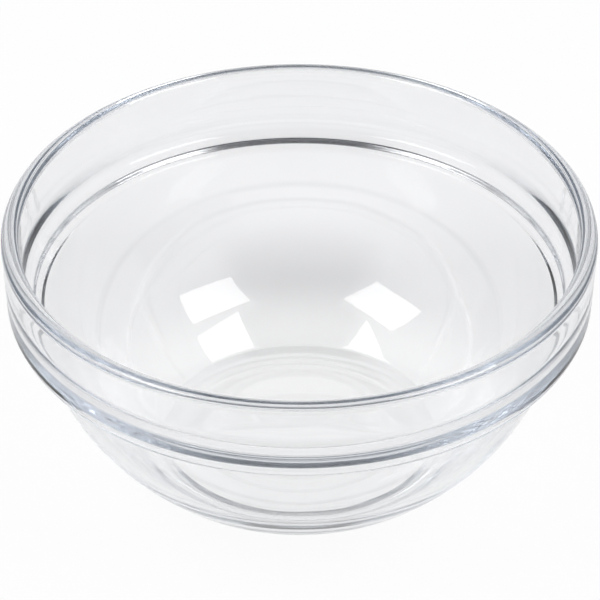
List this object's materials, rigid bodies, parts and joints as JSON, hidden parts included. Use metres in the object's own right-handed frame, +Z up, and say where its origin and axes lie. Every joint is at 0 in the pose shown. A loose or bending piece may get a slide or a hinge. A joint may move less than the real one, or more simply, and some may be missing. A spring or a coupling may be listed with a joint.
{
  "type": "prep bowl",
  "caption": "Round clear glass prep bowl with a rounded lip, a stacking collar with an inner ledge, a ball-shaped body and a flat base, for holding and mixing ingredients.",
  "frame": {"origin": "middle of the flat base, on the surface that the bowl stands on", "axes": "+Z up along the bowl's axis of revolution; the bowl is round, so X and Y are any two directions across it, with the picture's camera on the -Y side"},
  "size_m": [0.14, 0.14, 0.066],
  "materials": {
    "clear_glass": "clear pressed and tempered soda-lime glass, fire-polished, faintly cool"
  },
  "bodies": {
    "root": {"bowl": "clear_glass"}
  },
  "joints": []
}
